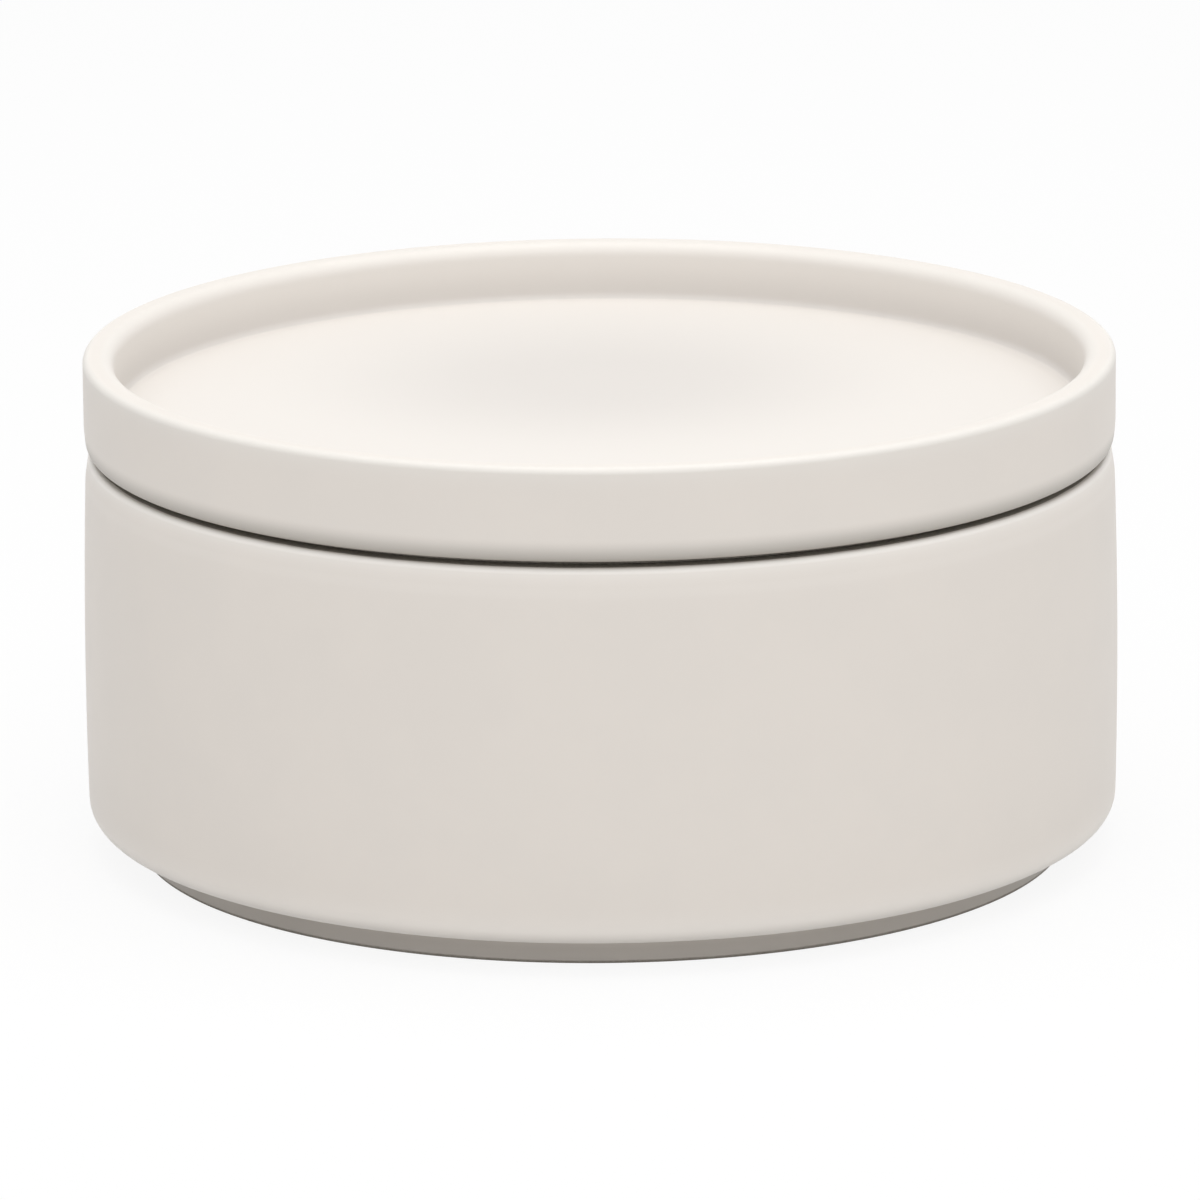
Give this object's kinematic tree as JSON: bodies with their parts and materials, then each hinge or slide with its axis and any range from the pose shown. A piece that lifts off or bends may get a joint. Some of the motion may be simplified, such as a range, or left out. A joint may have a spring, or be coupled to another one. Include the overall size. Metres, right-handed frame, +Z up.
{
  "type": "lidded ceramic box",
  "caption": "Low round ceramic box of pyxis form: a nearly straight-sided bowl on a low foot ring, with a loose cap of the same width whose raised rim makes a shallow tray on top.",
  "frame": {"origin": "centre of the foot ring, on the surface that the box stands on", "axes": "+Z up along the box's axis, the way the lid lifts; the box is round, so X and Y are any two directions across it"},
  "size_m": [0.1408, 0.1408, 0.0685],
  "materials": {
    "white_glaze": "satin"
  },
  "bodies": {
    "bowl": {"bowl": "white_glaze"},
    "lid": {"lid": "white_glaze"}
  },
  "joints": [
    {"name": "lid_lift", "type": "slide", "parent": "bowl", "child": "lid", "axis": [0, 0, 1], "range_m": [0, 0.09]}
  ]
}
